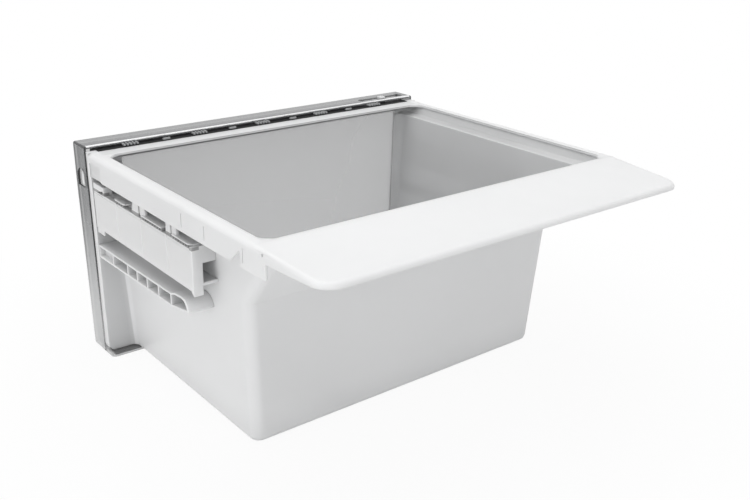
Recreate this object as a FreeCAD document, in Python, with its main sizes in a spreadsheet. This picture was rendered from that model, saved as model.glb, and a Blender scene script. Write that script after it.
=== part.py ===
"""Crisper drawer: a white bin with a smoked front cover, a sliding air vent and side runners.

Frame: +Z up, front cover towards -Y, origin under the middle of the drawer on its rest surface.
Lengths are millimetres, and every driving length is a cell of the sheet below.
"""
import FreeCAD
import Part

import math
import os
from types import SimpleNamespace

import Sketcher

DRIVING_SIZES = {
    # Overall, over the front cover and the rear lip
    "drawer_width": 384.0,
    "drawer_depth": 387.4,
    "drawer_height": 204.8,
    # Clearances
    "seat_clearance": 0.3,
    "slide_clearance": 0.3,
    "end_clearance": 0.9,
    "plate_lift": 0.9,
    "finger_clearance": 1.2,
    "peg_play": 0.1,
    # Front cover
    "cover_face": 3.0,
    "cover_side": 2.2,
    "cover_roof": 2.5,
    "cover_floor": 2.6,
    "cover_reach": 25.6,
    "cover_lean": 3.0,
    "cover_taper": 1.2,
    "cover_top_radius": 2.5,
    "cover_bottom_radius": 2.8,
    "cover_corner_radius": 2.0,
    "tongue_reach": 42.7,
    "tongue_inset": 2.4,
    "tongue_radius": 5.0,
    "hook_window_front": 5.0,
    "hook_window_length": 15.5,
    "hook_window_height": 17.0,
    "hook_window_drop": 22.6,
    "tab_slot_length": 59.0,
    "tab_slot_width": 10.0,
    "tab_slot_front": 10.0,
    "tab_slot_inset": 7.0,
    # Bright strip on the rear top edge of the cover
    "trim_width": 3.2,
    "trim_inset": 2.6,
    "trim_thickness": 1.3,
    # Bin walls and rim
    "wall": 2.3,
    "plate": 2.5,
    "plate_gap": 6.2,
    "plate_inset": 1.2,
    "flange_radius": 7.0,
    "rim_drop": 4.4,
    "rim_inset": 0.2,
    "rim_width": 11.8,
    "rim_edge_radius": 4.0,
    "front_strip": 16.7,
    "front_strip_edge": 3.0,
    "opening_radius": 13.0,
    "opening_overhang": 1.2,
    "opening_edge_radius": 1.5,
    "skirt_drop": 21.7,
    "skirt_setback": 62.7,
    "skirt_recess_depth": 1.4,
    "skirt_recess_length": 18.5,
    "skirt_recess_slope": 7.0,
    "skirt_recess_drop": 8.0,
    "skirt_slit": 1.0,
    "skirt_slit_rise": 4.0,
    "skirt_slit_height": 11.0,
    "skirt_hole": 2.2,
    "skirt_hole_drop": 4.2,
    "skirt_hole_inset": 3.5,
    "notch_setback": 31.7,
    "notch_length": 15.0,
    "notch_height": 12.0,
    # Rear lip
    "lip_depth": 79.6,
    "lip_fall": 5.4,
    "lip_seam": 0.12,
    "lip_edge": 4.4,
    "lip_taper": 5.0,
    "lip_radius": 17.0,
    # Tub under the rim
    "ledge_drop": 11.6,
    "ledge_rise": 2.3,
    "ledge_width": 8.4,
    "upper_draft": 2.0,
    "side_draft": 11.0,
    "tub_setback": 133.7,
    "rear_draft": 7.0,
    "flare_height": 130.0,
    "tub_radius": 10.0,
    "floor_radius": 7.0,
    "side_fillet": 7.0,
    # Window in the bin's front wall and its pane
    "window_margin": 9.0,
    "window_low_margin": 3.9,
    "window_sill": 20.0,
    "window_drop": 7.6,
    "window_radius": 6.0,
    "window_top_radius": 1.0,
    "pane_flange": 2.0,
    "pane_lap": 5.0,
    # Hooks of the bin that hold the cover
    "hook_plate": 3.0,
    "hook_height": 12.0,
    "hook_tip": 4.0,
    "hook_barb": 1.8,
    "hook_reach": 9.0,
    # Vent grille
    "grille_front": 10.5,
    "grille_inset": 11.4,
    "grille_wall": 1.2,
    "grille_roof": 1.9,
    "grille_rise": 0.5,
    "grille_depth": 7.0,
    "grille_lip": 1.5,
    "grille_lip_width": 2.6,
    "vent_pitch": 71.0,
    "vent_centre": 7.0,
    "port_length": 15.0,
    "port_width": 3.4,
    "fin_count": 5,
    "fin_pitch": 3.2,
    "fin_thickness": 1.4,
    "fin_height": 2.3,
    "vent_hook_length": 7.0,
    # Vent shutter and tab
    "shutter_thickness": 2.2,
    "shutter_travel": 17.5,
    "tab_length": 7.0,
    "tab_width": 7.4,
    "tab_rise": 1.4,
    "tab_offset": 1.4,
    "tab_radius": 1.5,
    "stem_width": 3.6,
    "peg_diameter": 2.6,
    # Side brackets
    "bracket_drop": 33.9,
    "bracket_height": 35.0,
    "bracket_end": 219.5,
    "bracket_plate": 2.0,
    "bracket_shelf": 2.3,
    "bracket_ceiling": 2.2,
    "bracket_ceiling_rise": 4.5,
    "bracket_setback": 0.8,
    "bracket_toe": 14.0,
    "bracket_toe_gap": 1.7,
    "bracket_toe_drop": 4.5,
    "bracket_post_width": 8.0,
    "bracket_post_length": 4.0,
    "bracket_post_drop": 3.4,
    "bracket_rib": 1.6,
    "bracket_rib_proud": 0.6,
    "pocket_width": 13.4,
    "pocket_sill": 7.0,
    "pocket_height": 16.3,
    "lid_depth": 8.5,
    "lid_rise": 2.7,
    "lid_thickness": 1.2,
    "lid_radius": 5.0,
    "lid_sink": 0.5,
    "comb_pitch": 4.0,
    "comb_tooth": 1.0,
    "finger_plate": 2.5,
    "finger_rise": 17.0,
    "clip_length": 22.0,
    "clip_height": 7.5,
    "clip_hole": 12.5,
    "clip_hole_inset": 1.5,
    "clip_hole_height": 3.2,
    # Runner rails
    "channel_height": 17.5,
    "rail_height": 12.4,
    "rail_climb": 3.0,
    "rail_straight": 178.0,
    "rail_end": 207.7,
    "rail_nose": 1.6,
    "rail_nose_drop": 8.0,
    "rail_nose_run": 4.0,
    "rail_nose_face": 0.8,
    "rail_nose_slope": 6.0,
    "rail_rise": 2.2,
    "rail_hump": 3.8,
    "rail_hump_radius": 4.0,
    "rail_nose_radius": 10.5,
    "rail_skin": 1.8,
    "rail_rib": 1.8,
    "rail_front_depth": 5.0,
}

# Places along the sides, as distances behind the cover's front face
SIDE_PLACES = {
    "slit_place": (207.0, 242.6, 297.0),
    "bracket_rib_place": (83.0, 131.0, 176.0),
    "rail_rib_place": (64.5, 95.0, 114.0, 133.5, 154.5, 177.0),
    "lid_start": (76.0, 132.0, 185.6),
    "lid_end": (100.0, 167.0, 216.0),
    "finger_foot_start": (110.0, 126.0, 172.0, 183.0),
    "finger_foot_end": (123.5, 137.0, 181.0, 192.0),
    "finger_tip_start": (114.0, 126.5, 174.0, 183.5),
    "finger_tip_end": (122.0, 134.0, 180.0, 189.5),
}
VENT_GROUPS = (-2, -1, 0, 1, 2)
# How far a form reaches into, or past, the one that it joins or cuts
OVERLAP = 1.0
# Two places closer than this count as one
SAME = 0.1
# What a half-round end leaves straight, and how far a trimming form stands off a face
STRAIGHT = 0.05
PLANE_ROLES = {"x": "YZ_Plane", "y": "XZ_Plane", "z": "XY_Plane"}

doc = FreeCAD.newDocument("crisper_drawer")


class Size:
    """A length: its value in millimetres, and the sheet expression that gives that value."""

    def __init__(self, value, text):
        self.value = float(value)
        self.text = text

    def __add__(self, other):
        other = as_size(other)
        return Size(self.value + other.value, f"({self.text} + {other.text})")

    def __sub__(self, other):
        other = as_size(other)
        return Size(self.value - other.value, f"({self.text} - {other.text})")

    def __mul__(self, other):
        other = as_size(other)
        return Size(self.value * other.value, f"({self.text} * {other.text})")

    def __truediv__(self, other):
        other = as_size(other)
        return Size(self.value / other.value, f"({self.text} / {other.text})")

    def __neg__(self):
        return Size(-self.value, f"(0 - {self.text})")

    __radd__ = __add__

    def __rsub__(self, other):
        return as_size(other) - self

    __rmul__ = __mul__


def as_size(value):
    """A size as it is, or a plain number as a size."""
    return value if isinstance(value, Size) else Size(value, f"{float(value):.6g}")


def fill_sheet():
    """Write the driving sizes into the sheet, and return them as sizes by name."""
    sheet = doc.addObject("Spreadsheet::Sheet", "Sheet")
    cells = dict(DRIVING_SIZES)
    for name, places in SIDE_PLACES.items():
        cells.update({f"{name}_{i}": place for i, place in enumerate(places)})
    sizes = {}
    for row, (name, value) in enumerate(cells.items(), start=1):
        sheet.set(f"A{row}", name.replace("_", " "))
        sheet.set(f"B{row}", str(value))
        sheet.setAlias(f"B{row}", name)
        sizes[name] = Size(value, f"Sheet.{name}")
    doc.recompute()
    return SimpleNamespace(**sizes)


d = fill_sheet()
none = as_size(0)


def places(name):
    """The y places of one row of features along the sides."""
    return [front + getattr(d, f"{name}_{i}") for i in range(len(SIDE_PLACES[name]))]


# Places that several pieces share
half_width = d.drawer_width / 2
front = -(d.drawer_depth / 2)
rear = d.drawer_depth / 2
cover_rear = front + d.cover_reach
plate_front = cover_rear + d.plate_gap
plate_rear = plate_front + d.plate
plate_half = half_width - d.plate_inset
plate_bottom = d.cover_floor + d.plate_lift
rim_top = d.drawer_height - d.rim_drop
rim_half = half_width - d.rim_inset
opening_half = rim_half - d.rim_width
opening_front = plate_front + d.front_strip
opening_rear = rear - d.lip_depth
skirt_bottom = rim_top - d.skirt_drop
skirt_rear = rear - d.skirt_setback
ledge_bottom = rim_top - d.ledge_drop
ledge_top = ledge_bottom + d.ledge_rise
ledge_half = opening_half - d.upper_draft - d.ledge_width
roof_bottom = d.drawer_height - d.cover_roof
grille_half = half_width - d.grille_inset
grille_top = rim_top + d.grille_rise
grille_bottom = grille_top - d.grille_depth
lintel = rim_top - d.window_drop


def bind(thing, path, size):
    """Tie one property to a size of the sheet."""
    thing.setExpression(path, as_size(size).text)


def box(name, x, y, z):
    """A box between two x, two y and two z places."""
    solid = doc.addObject("Part::Box", name)
    for axis, side, span in zip("xyz", ("Length", "Width", "Height"), (x, y, z)):
        low, high = as_size(span[0]), as_size(span[1])
        bind(solid, side, high - low)
        bind(solid, f"Placement.Base.{axis}", low)
    return solid


def cylinder(name, x, y, z, diameter):
    """An upright cylinder at x and y between two z places."""
    solid = doc.addObject("Part::Cylinder", name)
    low, high = as_size(z[0]), as_size(z[1])
    bind(solid, "Radius", as_size(diameter) / 2)
    bind(solid, "Height", high - low)
    bind(solid, "Placement.Base.x", x)
    bind(solid, "Placement.Base.y", y)
    bind(solid, "Placement.Base.z", low)
    return solid


def fuse(name, solids):
    """One solid from several that meet."""
    joined = doc.addObject("Part::MultiFuse", name)
    joined.Shapes = list(solids)
    joined.Refine = True
    return joined


def common(name, solids):
    """What several solids share."""
    shared = doc.addObject("Part::MultiCommon", name)
    shared.Shapes = list(solids)
    shared.Refine = True
    return shared


def cut(name, base, tool):
    """A solid less another, or less several."""
    if isinstance(tool, (list, tuple)):
        tool = fuse(name + "_tool", tool)
    result = doc.addObject("Part::Cut", name)
    result.Base = base
    result.Tool = tool
    result.Refine = True
    return result


def mirrored(name, solid):
    """The left-hand copy of a right-hand solid."""
    copy = doc.addObject("Part::Mirroring", name)
    copy.Source = solid
    copy.Base = (0, 0, 0)
    copy.Normal = (1, 0, 0)
    return copy


def draw_outline(sketch, corners):
    """Draw a closed outline through (u, v) or (u, v, radius) corners, each tied to its sizes."""
    corners = [tuple(as_size(number) for number in corner) for corner in corners]
    points = [FreeCAD.Vector(corner[0].value, corner[1].value, 0) for corner in corners]
    twice_area = sum(a.x * b.y - b.x * a.y for a, b in zip(points, points[1:] + points[:1]))
    if twice_area < 0:
        corners.reverse()
        points.reverse()
    count = len(points)
    starts, ends, arcs = list(points), list(points), {}
    for i, corner in enumerate(corners):
        if len(corner) < 3:
            continue
        before = (points[i - 1] - points[i]).normalize()
        after = (points[(i + 1) % count] - points[i]).normalize()
        half_angle = before.getAngle(after) / 2
        radius = corner[2].value
        reach = radius / math.tan(half_angle)
        centre = points[i] + (before + after).normalize() * (radius / math.sin(half_angle))
        ends[i] = points[i] + before * reach
        starts[i] = points[i] + after * reach
        convex = before.cross(after).z < 0
        first, last = (ends[i], starts[i]) if convex else (starts[i], ends[i])
        angles = [math.atan2(p.y - centre.y, p.x - centre.x) for p in (first, last)]
        circle = Part.Circle(centre, FreeCAD.Vector(0, 0, 1), radius)
        arcs[i] = (Part.ArcOfCircle(circle, *angles), convex)
    lines = []
    for i in range(count):
        segment = Part.LineSegment(starts[i], ends[(i + 1) % count])
        lines.append(sketch.addGeometry(segment, False))
    for i, (u, v, *radius) in enumerate(corners):
        into, out_of = lines[i - 1], lines[i]
        if radius:
            arc, convex = arcs[i]
            curve = sketch.addGeometry(arc, False)
            first, last = (1, 2) if convex else (2, 1)
            vertex = sketch.addGeometry(Part.Point(points[i]), True)
            sketch.addConstraint(Sketcher.Constraint("Tangent", into, 2, curve, first))
            sketch.addConstraint(Sketcher.Constraint("Tangent", curve, last, out_of, 1))
            sketch.addConstraint(Sketcher.Constraint("PointOnObject", vertex, 1, into))
            sketch.addConstraint(Sketcher.Constraint("PointOnObject", vertex, 1, out_of))
            tie(sketch, f"corner_{i}_radius", Sketcher.Constraint("Radius", curve, radius[0].value),
                radius[0])
        else:
            vertex = out_of
            sketch.addConstraint(Sketcher.Constraint("Coincident", into, 2, out_of, 1))
        tie(sketch, f"corner_{i}_u",
            Sketcher.Constraint("DistanceX", -1, 1, vertex, 1, u.value), u)
        tie(sketch, f"corner_{i}_v",
            Sketcher.Constraint("DistanceY", -1, 1, vertex, 1, v.value), v)


def tie(sketch, name, constraint, size):
    """Add one dimension to a sketch under a name, and bind it to its size."""
    index = sketch.addConstraint(constraint)
    sketch.renameConstraint(index, name)
    bind(sketch, f"Constraints.{name}", size)


def outline_sketch(body, name, axis, at, corners):
    """A sketch square to an axis, at a place along it, with one closed outline."""
    sketch = body.newObject("Sketcher::SketchObject", name)
    plane = next(item for item in body.Origin.OriginFeatures if item.Role == PLANE_ROLES[axis])
    sketch.AttachmentSupport = [(plane, "")]
    sketch.MapMode = "FlatFace"
    at = as_size(at)
    # The XZ plane looks towards -Y
    bind(sketch, "AttachmentOffset.Base.z", -at if axis == "y" else at)
    draw_outline(sketch, corners)
    return sketch


def prism(name, axis, span, corners):
    """A body padded from one outline, between two places along an axis."""
    body = doc.addObject("PartDesign::Body", name)
    low, high = as_size(span[0]), as_size(span[1])
    sketch = outline_sketch(body, name + "_outline", axis, high if axis == "y" else low, corners)
    pad = body.newObject("PartDesign::Pad", name + "_pad")
    pad.Profile = sketch
    bind(pad, "Length", high - low)
    return body


def loft(name, sections):
    """A body lofted straight between outlines at rising heights."""
    body = doc.addObject("PartDesign::Body", name)
    sketches = [outline_sketch(body, f"{name}_section_{i}", "z", at, corners)
                for i, (at, corners) in enumerate(sections)]
    skin = body.newObject("PartDesign::AdditiveLoft", name + "_skin")
    skin.Profile = sketches[0]
    skin.Sections = sketches[1:]
    skin.Ruled = True
    return body


def round_edges(body, name, radius, chosen):
    """Fillet the edges of a body that a test on their middle and direction chooses."""
    doc.recompute()
    tip = body.Tip
    names = [f"Edge{i}" for i, edge in enumerate(tip.Shape.Edges, start=1)
             if chosen(edge.BoundBox, edge)]
    fillet = body.newObject("PartDesign::Fillet", name)
    fillet.Base = (tip, names)
    bind(fillet, "Radius", radius)
    return body


def as_body(name, solid):
    """A body that starts from a solid made of others."""
    body = doc.addObject("PartDesign::Body", name)
    body.BaseFeature = solid
    doc.recompute()
    return body


# Tub

def tub_half(height):
    """Outer half width of the tub below the ledge."""
    return ledge_half + d.wall - d.side_draft + d.side_draft * height / ledge_bottom


def lower_tub(name, inset, start):
    """The tub from its floor to the ledge: drafted sides, and a rear wall that flares out on top."""
    floor = inset
    foot = rear - d.tub_setback - inset
    crest = opening_rear - d.upper_draft + d.wall - inset
    front_view = prism(name + "_front_view", "y", (start, rear), [
        (-(tub_half(floor) - inset), floor), (tub_half(floor) - inset, floor),
        (tub_half(ledge_bottom) - inset, ledge_bottom),
        (-(tub_half(ledge_bottom) - inset), ledge_bottom)])
    side_view = prism(name + "_side_view", "x", (-half_width, half_width), [
        (start, floor), (foot, floor), (foot + d.rear_draft, d.flare_height),
        (crest, ledge_bottom), (start, ledge_bottom)])
    body = as_body(name, common(name + "_block", [front_view, side_view]))

    def upright(room, edge):
        slanted = room.ZMax - room.ZMin > SAME
        at_start = inset.value > 0 and room.YMax < start.value + SAME
        at_end = room.YMax > foot.value - SAME
        within = max(abs(room.XMin), abs(room.XMax)) < half_width.value - SAME
        return slanted and within and (at_start or at_end)

    round_edges(body, name + "_corners", d.tub_radius - inset / 2, upright)

    def at_floor(room, edge):
        level = abs(room.ZMax - floor.value) < SAME
        return level and (inset.value > 0 or room.YMax > start.value + SAME)

    return round_edges(body, name + "_floor_edge", d.floor_radius - inset / 2, at_floor)


def upper_section(height, half, back, radius):
    """One outline of the tub above the ledge."""
    start = plate_front + d.plate
    return (height, [(-half, start, d.tub_radius), (half, start, d.tub_radius),
                     (half, back, radius), (-half, back, radius)])


def upper_tub(name, inset, top):
    """The tub from the ledge to the rim: a sloping ledge, then nearly upright walls."""
    back = opening_rear + d.wall - inset
    ledge_outer = ledge_half + d.wall - inset
    upper_outer = opening_half - d.upper_draft + d.wall - inset
    top_outer = opening_half + d.opening_overhang + d.wall - inset
    radius = d.opening_radius + d.wall - inset
    return loft(name, [
        upper_section(ledge_bottom, ledge_outer, back - d.upper_draft, radius),
        upper_section(ledge_top, upper_outer, back - d.upper_draft, radius),
        upper_section(top, top_outer, back, radius),
    ])


def make_tub():
    """The outside of the tub as closed forms that meet at the ledge."""
    return [lower_tub("lower_tub", none, plate_front),
            upper_tub("upper_tub", none, rim_top - d.wall / 2)]


def make_room():
    """The room inside the tub as closed forms that meet at the ledge."""
    lower = lower_tub("lower_room", d.wall, plate_rear)
    return [lower, upper_tub("upper_room", d.wall, rim_top - d.wall)]


def front_step(name, inside):
    """The raised front end of the floor, over the cover's tongue."""
    grow = d.wall if inside else none
    step_rear = front + d.tongue_reach + d.seat_clearance + grow
    step_top = plate_bottom + d.seat_clearance + grow
    return box(name, (-half_width, half_width), (front, step_rear), (-OVERLAP, step_top))


def side_fillets():
    """Concave fillets between the flange plate and the tub's sides."""
    sections = []
    for height in (plate_bottom, ledge_bottom):
        wall_x = tub_half(height)
        sections.append((height, [
            (0, plate_front),
            (wall_x + d.side_fillet * 2, plate_front),
            (wall_x + d.side_fillet * 2, plate_rear),
            (wall_x, plate_rear, d.side_fillet),
            (wall_x, plate_rear + d.side_fillet * 2),
            (0, plate_rear + d.side_fillet * 2),
        ]))
    right = loft("side_fillet_right", sections)
    return [right, mirrored("side_fillet_left", right)]


# Rim cap: the top, the side skirts and the rear lip

lip_start = opening_rear + d.wall


def rim_form(name, inset):
    """The straight part of the cap seen from the front: a wide cap with soft top edges."""
    half = rim_half - inset
    low, high = skirt_bottom - inset, rim_top - inset
    soft = (d.rim_edge_radius,) if not inset.value else ()
    near = plate_rear if inset.value else plate_front
    return prism(name, "y", (near, lip_start), [
        (-half, low), (half, low), (half, high, *soft), (-half, high, *soft)])


def lip_form(name, inset):
    """The tapering rear lip, with the rear ends of the skirts, over the same rim."""
    half_front = rim_half - inset - d.lip_seam
    half_rear = rim_half - d.lip_taper - inset
    low, high = skirt_bottom - inset, rim_top - inset - d.lip_seam
    lip_top = rim_top - inset - d.lip_fall
    lip_bottom = rim_top - d.lip_fall - d.lip_edge - inset
    plan = prism(name + "_plan", "z", (low, high + OVERLAP), [
        (-half_front, lip_start), (half_front, lip_start),
        (half_rear, rear - inset, d.lip_radius - inset),
        (-half_rear, rear - inset, d.lip_radius - inset)])
    side = prism(name + "_side", "x", (-half_width, half_width), [
        (lip_start, low), (skirt_rear, low), (skirt_rear, lip_bottom),
        (rear, lip_bottom), (rear, lip_top), (lip_start, high)])
    return common(name, [plan, side])


def make_cap():
    """The rim, skirts and lip as outer forms, and the hollow under them."""
    lip = as_body("lip_soft", lip_form("lip_outside", none))

    def soft(room, edge):
        level = room.ZMin > rim_top.value - d.lip_fall.value - SAME
        across = abs(room.YMax - rear.value) < SAME
        side = room.YMax > lip_start.value + SAME and room.XMin * room.XMax > 0
        return level and (across or side)

    round_edges(lip, "lip_edge_round", d.rim_edge_radius, soft)
    outside = [rim_form("rim_outside", none), lip]
    inside = [rim_form("rim_hollow", d.wall), lip_form("lip_hollow", d.wall)]
    return outside, inside


def opening():
    """The hole in the rim that food goes through."""
    return prism("opening_hole", "z", (rim_top - d.wall, rim_top + OVERLAP), [
        (-opening_half, opening_front, d.opening_radius),
        (opening_half, opening_front, d.opening_radius),
        (opening_half, opening_rear, d.opening_radius),
        (-opening_half, opening_rear, d.opening_radius),
    ])


# Window in the front wall

def window_outline(grow, top):
    """The window's outline up to a height, drawn larger all round."""
    sill = d.window_sill - grow
    low_half = tub_half(d.window_sill) - d.wall - d.window_low_margin + grow
    high_half = ledge_half - d.window_margin + grow
    radius = d.window_radius + grow
    return [(-low_half, sill, radius), (low_half, sill, radius),
            (high_half, top, d.window_top_radius), (-high_half, top, d.window_top_radius)]


def make_window():
    """The pane: a flange against the plate's front, and a plug that fills the window."""
    flange = prism("pane_flange_form", "y", (plate_front - d.pane_flange, plate_front),
                   window_outline(d.pane_lap, grille_bottom - d.seat_clearance))
    plug = prism("pane_plug", "y", (plate_front, plate_rear),
                 window_outline(-d.seat_clearance, lintel - d.seat_clearance))
    return fuse("inner_window", [flange, plug])


# Hooks on the flange plate that reach through the cover's sides

hook_window_top = d.drawer_height - d.hook_window_drop
hook_window_bottom = hook_window_top - d.hook_window_height


def cover_half(height):
    """Outer half width of the cover at a height."""
    return half_width - d.cover_taper + d.cover_taper * height / d.drawer_height


def cover_hook():
    """A springy arm from the plate, with a tip that snaps into the window of the cover's side."""
    middle = (hook_window_top + hook_window_bottom) / 2
    low, high = middle - d.hook_height / 2, middle + d.hook_height / 2
    inner_face = cover_half(low) - d.cover_side - d.seat_clearance
    arm_front = front + d.hook_reach
    return prism("cover_hook_right", "z", (low, high), [
        (inner_face - d.hook_plate, arm_front),
        (inner_face, arm_front),
        (inner_face + d.hook_barb, arm_front + d.hook_tip),
        (inner_face + d.hook_barb, arm_front + d.hook_tip * 2),
        (inner_face, arm_front + d.hook_tip * 2),
        (inner_face, plate_front + d.plate / 2),
        (inner_face - d.hook_plate, plate_front + d.plate / 2),
    ])


def flange_outline(inset, top):
    """The flange plate seen from the front: the cover's outline drawn in, open towards the top."""
    low = plate_bottom + inset
    radius = d.flange_radius - inset
    low_half, high_half = (cover_half(height) - d.plate_inset - inset for height in (low, top))
    return [(-low_half, low, radius), (low_half, low, radius), (high_half, top), (-high_half, top)]


def skirt_cuts():
    """What is cut from the right skirt: the recess behind the flange, slits, notch and hole."""
    low, outside = skirt_bottom - OVERLAP, half_width + OVERLAP
    recess_end = plate_rear + d.skirt_recess_length
    slope = d.skirt_recess_slope / d.skirt_recess_depth
    recess = prism("skirt_recess", "z", (low, rim_top - d.skirt_recess_drop), [
        (rim_half - d.skirt_recess_depth, plate_rear),
        (outside, plate_rear),
        (outside, recess_end + slope * (outside - rim_half + d.skirt_recess_depth)),
        (rim_half - d.skirt_recess_depth, recess_end)])
    slit_low = skirt_bottom + d.skirt_slit_rise
    slits = [box(f"skirt_slit_{i}", (rim_half - d.wall - OVERLAP, outside),
                 (place - d.skirt_slit / 2, place + d.skirt_slit / 2),
                 (slit_low, slit_low + d.skirt_slit_height))
             for i, place in enumerate(places("slit_place"))]
    hole = doc.addObject("Part::Cylinder", "skirt_hole")
    bind(hole, "Radius", d.skirt_hole / 2)
    bind(hole, "Height", d.wall * 2 + d.lip_taper)
    hole.Placement.Rotation = FreeCAD.Rotation(FreeCAD.Vector(0, 1, 0), 90)
    bind(hole, "Placement.Base.x", rim_half - d.wall - d.lip_taper)
    bind(hole, "Placement.Base.y", skirt_rear - d.skirt_hole_inset)
    bind(hole, "Placement.Base.z", rim_top - d.skirt_hole_drop)
    notch_rear = skirt_rear - d.notch_setback
    notch = prism("skirt_notch", "x", (rim_half - d.wall - OVERLAP, outside), [
        (notch_rear - d.notch_length, skirt_bottom), (notch_rear - d.notch_length, low),
        (notch_rear, low), (notch_rear, skirt_bottom + d.notch_height)])
    return [recess, *slits, hole, notch]


def make_bin():
    """The bin: tub, flange plate, rim cap and hooks, less the room inside and the openings."""
    tub = make_tub()
    fillets = side_fillets()
    cap, cap_hollow = make_cap()
    flange = prism("flange_plate", "y", (plate_front, plate_rear),
                   flange_outline(none, rim_top - d.wall / 2))
    reach = (cover_rear + d.seat_clearance, plate_front + d.plate / 2)
    band = cut("flange_band", prism("flange_band_form", "y", reach, flange_outline(none, rim_top)),
               prism("flange_band_room", "y", (reach[0] - OVERLAP, plate_front),
                     flange_outline(d.plate, rim_top + OVERLAP)))
    fill_span = (grille_half + d.slide_clearance,
                 cover_half(rim_top) - d.plate_inset - d.seat_clearance)
    fill = box("flange_fill_right", fill_span, reach, (rim_top - d.rim_drop, rim_top))
    fills = [fill, mirrored("flange_fill_left", fill)]
    hook = cover_hook()
    hooks = [hook, mirrored("cover_hook_left", hook)]
    cap_shell = cut("cap_shell", fuse("cap_form", cap), cap_hollow)
    outside = fuse("bin_outside", [*tub, flange, *fillets, cap_shell, band, *fills, *hooks])
    outside = cut("bin_outside_stepped", outside, front_step("tongue_room", False))
    strip_edge = box("strip_edge", (-opening_half + d.wall, opening_half - d.wall),
                     (opening_front - d.wall, opening_front),
                     (rim_top - d.front_strip_edge, rim_top))
    room = cut("bin_room", fuse("bin_room_form", make_room()),
               [front_step("step_room", True), strip_edge])
    window = prism("window_hole", "y", (plate_front - OVERLAP, plate_rear + OVERLAP),
                   window_outline(none, lintel))
    right_cuts = skirt_cuts()
    left_cuts = [mirrored(f"skirt_cut_left_{i}", tool) for i, tool in enumerate(right_cuts)]
    bin_solid = as_body("crisper_bin", cut("bin_open", outside, [room, opening(), window,
                                                                *right_cuts, *left_cuts]))

    def around_opening(room, edge):
        level = room.ZMin > rim_top.value - SAME and room.ZMax < rim_top.value + SAME
        within = max(abs(room.XMin), abs(room.XMax)) < opening_half.value + SAME
        return level and within and room.YMin > opening_front.value - SAME

    round_edges(bin_solid, "opening_edge_round", d.opening_edge_radius, around_opening)
    solid_form = fuse("bin_solid_form", [*tub, flange, *fillets])
    return bin_solid, solid_form


# Front cover

def cover_outline(inset):
    """The cover seen from the front, drawn in by its skin for the hollow."""
    low = d.cover_floor if inset else none
    high = roof_bottom if inset else d.drawer_height
    side = d.cover_side if inset else none
    bottom_radius = d.cover_bottom_radius - side
    top_radius = d.cover_top_radius - side
    return [(-(cover_half(low) - side), low, bottom_radius),
            (cover_half(low) - side, low, bottom_radius),
            (cover_half(high) - side, high, top_radius),
            (-(cover_half(high) - side), high, top_radius)]


def cover_form(name, inset):
    """The cover's outside, or its hollow."""
    skin = d.cover_face if inset else none
    low = -OVERLAP if inset else none
    back = cover_rear + (OVERLAP if inset else none)
    outline = prism(name + "_face", "y", (front, back), cover_outline(inset))
    lean = prism(name + "_lean", "x", (-half_width, half_width), [
        (front + skin, d.drawer_height),
        (front + skin + d.cover_lean, low),
        (back, low),
        (back, d.drawer_height),
    ])
    if inset:
        return common(name, [outline, lean])
    plan = prism(name + "_plan", "z", (0, d.drawer_height), [
        (-half_width - STRAIGHT, front - STRAIGHT, d.cover_corner_radius),
        (half_width + STRAIGHT, front - STRAIGHT, d.cover_corner_radius),
        (half_width + STRAIGHT, cover_rear), (-half_width - STRAIGHT, cover_rear)])
    return common(name, [outline, lean, plan])


def tab_slot():
    """The long slot in the cover's top that the vent's knob moves in."""
    left = -half_width + d.tab_slot_inset
    right = left + d.tab_slot_length
    near = front + d.tab_slot_front
    far = near + d.tab_slot_width
    radius = d.tab_slot_width / 2 - STRAIGHT
    return prism("tab_slot_hole", "z", (roof_bottom - OVERLAP, d.drawer_height + OVERLAP), [
        (left, near, radius), (right, near, radius), (right, far, radius), (left, far, radius)])


def hook_window():
    """The arched window in a side of the cover, for the bin's hook."""
    near = front + d.hook_window_front
    far = near + d.hook_window_length
    arch = d.hook_window_length / 2 - STRAIGHT
    inside = half_width - d.cover_taper - d.cover_side - OVERLAP
    return prism("hook_window_right", "x", (inside, half_width + OVERLAP), [
        (near, hook_window_bottom), (far, hook_window_bottom),
        (far, hook_window_top, arch), (near, hook_window_top, arch)])


def make_cover():
    """The smoked tray: leaning face, thin sides, roof, and a floor with a tongue to the rear."""
    tongue_half = half_width - d.tongue_inset
    tongue = prism("cover_tongue", "z", (0, d.cover_floor), [
        (-tongue_half, cover_rear - OVERLAP),
        (tongue_half, cover_rear - OVERLAP),
        (tongue_half, front + d.tongue_reach, d.tongue_radius),
        (-tongue_half, front + d.tongue_reach, d.tongue_radius),
    ])
    shell = cut("cover_shell", cover_form("cover_outside", False), cover_form("cover_hollow", True))
    window = hook_window()
    trim_seat = box("trim_seat", (-half_width + d.trim_inset, half_width - d.trim_inset),
                    (cover_rear - d.trim_width, cover_rear + OVERLAP),
                    (d.drawer_height - d.trim_thickness, d.drawer_height + OVERLAP))
    return cut("front_cover", fuse("cover_with_tongue", [shell, tongue]),
               [window, mirrored("hook_window_left", window), tab_slot(), trim_seat])


def make_trim():
    """The bright strip, which lies in a rabbet along the roof's rear edge."""
    return box("top_trim", (-half_width + d.trim_inset, half_width - d.trim_inset),
               (cover_rear - d.trim_width, cover_rear),
               (d.drawer_height - d.trim_thickness, d.drawer_height))


# Vent: grille, shutter and tab

grille_near = front + d.grille_front
grille_ceiling = grille_top - d.grille_roof
shutter_bottom = grille_bottom + d.grille_lip + d.slide_clearance
shutter_top = shutter_bottom + d.shutter_thickness
port_middle = (cover_rear + plate_front - d.grille_wall) / 2
tab_middle = front + d.tab_slot_front + d.tab_slot_width / 2
tab_home = -half_width + d.tab_slot_inset + d.tab_slot_length / 2 - d.tab_offset


def group_centre(index):
    """Middle of one group of fins."""
    return d.vent_centre + d.vent_pitch * index


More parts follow.
